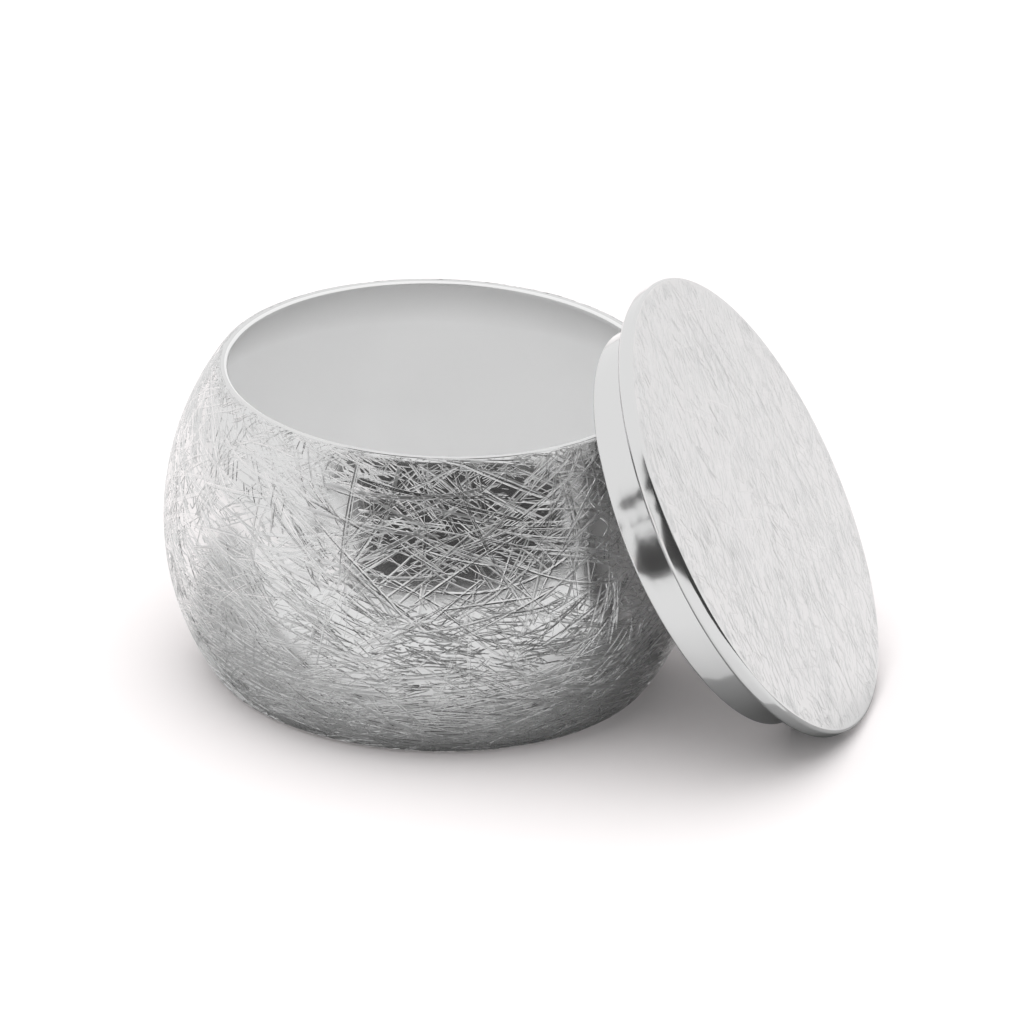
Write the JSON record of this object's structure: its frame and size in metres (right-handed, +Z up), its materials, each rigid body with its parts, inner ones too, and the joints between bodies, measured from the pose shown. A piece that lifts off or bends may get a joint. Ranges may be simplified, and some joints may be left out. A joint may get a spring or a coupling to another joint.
{
  "type": "pill box",
  "caption": "Round pot-bellied silver pill box with a scratch-engraved finish and a flat lift-off lid with a plug collar, shown open with the lid leaning on the rim.",
  "frame": {"origin": "centre of the box's flat foot, at the height of the table that it stands on", "axes": "+Z up along the box's axis of revolution; +X from the box towards the side that the lid leans on; the object is mirror-symmetric about the XZ plane"},
  "size_m": [0.0595, 0.045, 0.0349],
  "materials": {
    "scratched_silver": "sterling silver, criss-cross scratched and engraved outside, satin inside",
    "scratched_silver_base": "sterling silver, scratched at the edge, satin inside and under",
    "scratched_silver_lid": "sterling silver, fine scratched top and polished edge",
    "polished_silver": "polished sterling silver"
  },
  "bodies": {
    "box": {"belly_shell": "scratched_silver", "base_plate": "scratched_silver_base"},
    "lid": {"lid_disc": "scratched_silver_lid", "lid_collar": "polished_silver"}
  },
  "joints": [
    {"name": "lid_swing", "type": "hinge", "parent": "box", "child": "lid", "pos_m": [-0.00402, 0, 0.00416], "axis": [0, -1, 0], "range_deg": [0, 59.4]}
  ]
}
